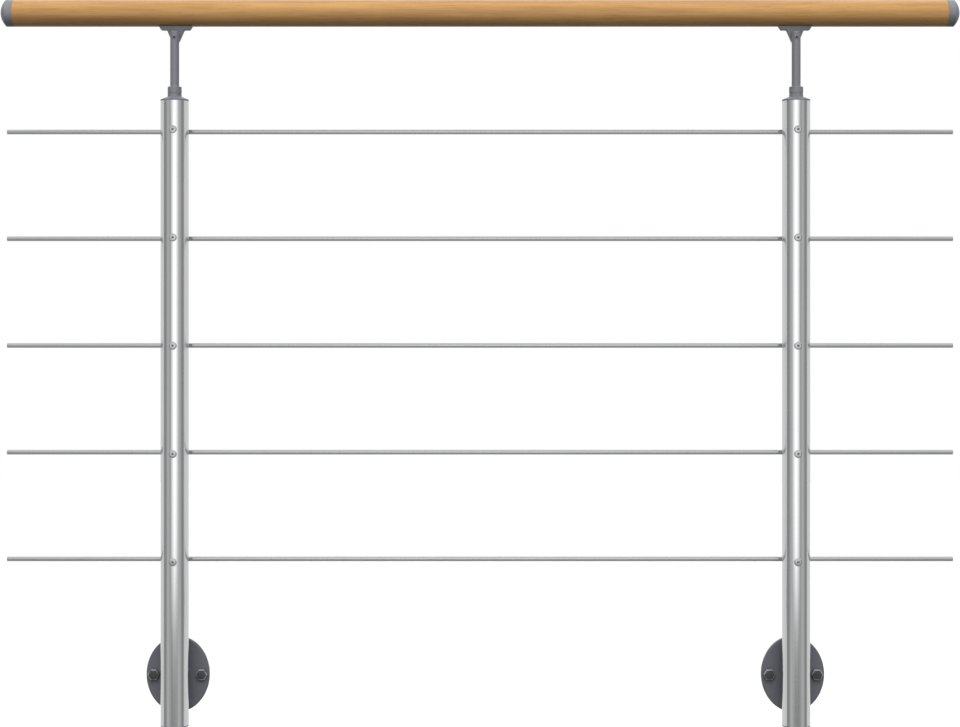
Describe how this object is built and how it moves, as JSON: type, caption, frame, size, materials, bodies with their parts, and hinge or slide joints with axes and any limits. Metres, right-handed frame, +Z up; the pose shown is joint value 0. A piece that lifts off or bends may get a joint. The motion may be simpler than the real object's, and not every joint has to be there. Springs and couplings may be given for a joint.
{
  "type": "wall-mounted aluminium railing",
  "caption": "Wall-mounted railing with round metal posts on oval plates, slim horizontal rods behind them and a round wood-effect handrail.",
  "frame": {"origin": "centre of the left wall plate's back face", "axes": "+X along the railing to the right as seen from the front, +Y out of the plate's back into the wall, +Z up"},
  "size_m": [1.5133, 0.1295, 1.1443],
  "materials": {
    "polished_aluminium": "polished and clear anodised",
    "wood_grain_film": "wood-grain film, satin",
    "anthracite_plastic": "moulded, satin",
    "grey_plastic": "moulded, satin",
    "anthracite_coated_aluminium": "powder coated, satin",
    "dark_steel": "blackened",
    "anthracite_coated_steel": "powder coated",
    "bright_steel": "bright stainless"
  },
  "bodies": {
    "root": {"handrail": "wood_grain_film", "rod_1": "polished_aluminium", "rod_2": "polished_aluminium", "rod_3": "polished_aluminium", "rod_4": "polished_aluminium", "rod_5": "polished_aluminium", "post_left": "polished_aluminium", "post_cap_left": "anthracite_plastic", "post_plug_left": "grey_plastic", "wall_plate_left": "anthracite_coated_aluminium", "handrail_arm_left": "anthracite_coated_aluminium", "handrail_saddle_left": "anthracite_coated_aluminium", "pivot_screw_left": "anthracite_coated_steel", "handrail_cap_left": "grey_plastic", "wall_screws_left": "dark_steel", "post_screws_left": "bright_steel", "saddle_screws_left": "dark_steel", "rod_screws_left": "bright_steel", "rod_seat_left_1": "anthracite_plastic", "rod_seat_left_2": "anthracite_plastic", "rod_seat_left_3": "anthracite_plastic", "rod_seat_left_4": "anthracite_plastic", "rod_seat_left_5": "anthracite_plastic", "post_right": "polished_aluminium", "post_cap_right": "anthracite_plastic", "post_plug_right": "grey_plastic", "wall_plate_right": "anthracite_coated_aluminium", "handrail_arm_right": "anthracite_coated_aluminium", "handrail_saddle_right": "anthracite_coated_aluminium", "pivot_screw_right": "anthracite_coated_steel", "handrail_cap_right": "grey_plastic", "wall_screws_right": "dark_steel", "post_screws_right": "bright_steel", "saddle_screws_right": "dark_steel", "rod_screws_right": "bright_steel", "rod_seat_right_1": "anthracite_plastic", "rod_seat_right_2": "anthracite_plastic", "rod_seat_right_3": "anthracite_plastic", "rod_seat_right_4": "anthracite_plastic", "rod_seat_right_5": "anthracite_plastic"}
  },
  "joints": []
}
